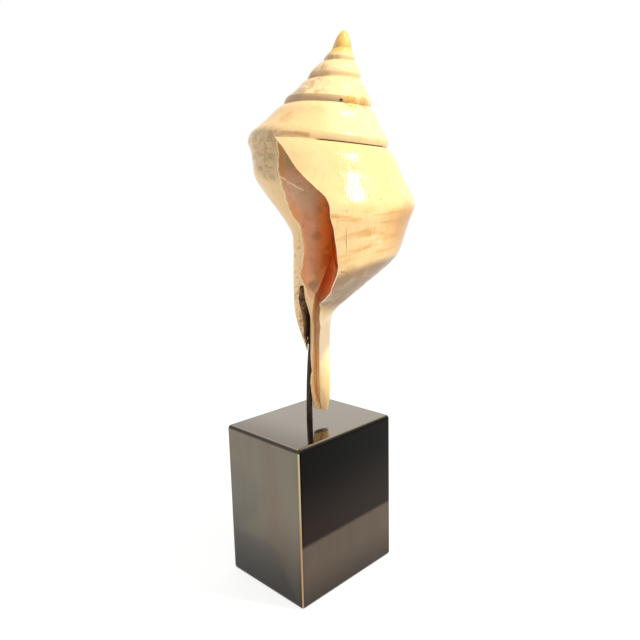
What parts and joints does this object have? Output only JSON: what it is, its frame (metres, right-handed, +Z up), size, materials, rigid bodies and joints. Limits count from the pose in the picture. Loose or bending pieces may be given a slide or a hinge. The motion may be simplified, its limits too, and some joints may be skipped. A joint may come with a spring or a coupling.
{
  "type": "mounted trumpet shell",
  "caption": "Large spired trumpet shell with a long canal, held on a dark metal rod that stands in a polished dark bronze block, for display.",
  "frame": {"origin": "middle of the block's bottom", "axes": "+Z up along the height, +X across the block's width of 4 in, +Y along its depth of 5 in; the shell's outer lip faces +X -Y and its mouth opens towards -Y"},
  "size_m": [0.1607, 0.1548, 0.5101],
  "materials": {
    "shell": "natural glossy calcium carbonate, cream and apricot outside, orange inside",
    "rod": "blackened, satin",
    "adhesive": "black epoxy putty, uneven",
    "block": "polished dark bronze patina, brass showing at the edges"
  },
  "bodies": {
    "root": {"shell": "shell", "rod": "rod", "adhesive": "adhesive", "block": "block"}
  },
  "joints": []
}
